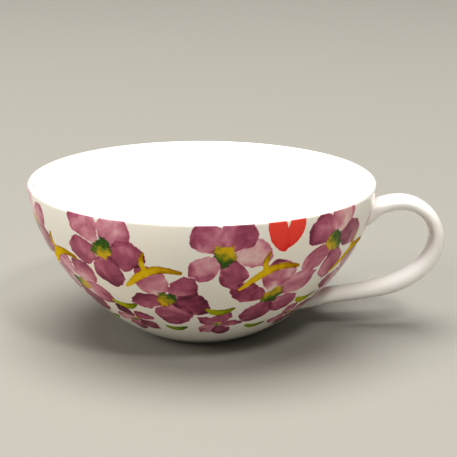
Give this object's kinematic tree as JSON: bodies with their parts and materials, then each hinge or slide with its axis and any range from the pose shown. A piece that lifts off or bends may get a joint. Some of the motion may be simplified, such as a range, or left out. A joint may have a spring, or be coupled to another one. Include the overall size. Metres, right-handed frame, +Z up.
{
  "type": "teacup",
  "caption": "Wide, thin-walled china teacup with a bowl tapering to a low foot ring, a drop-shaped loop handle and a watercolour flower print outside.",
  "frame": {"origin": "on the table, under the middle of the whole cup's box, handle included; the bowl's own axis is at x = -11.2 mm", "axes": "+Z up, +X towards the handle, along the cup's longest extent"},
  "size_m": [0.1324, 0.11, 0.0492],
  "materials": {
    "printed_china": "glossy clear glaze over white china, watercolour flowers printed under it on the outside, plain inside",
    "ground_foot": "glossy glaze on the flank, resting face ground bare and matt",
    "white_china": "glossy clear glaze over plain warm white china",
    "glazed_slip": "glossy glaze over a smoothed bead of slip"
  },
  "bodies": {
    "root": {"bowl": "printed_china", "foot_ring": "ground_foot", "handle": "white_china", "upper_slip_joint": "glazed_slip", "lower_slip_joint": "glazed_slip"}
  },
  "joints": []
}
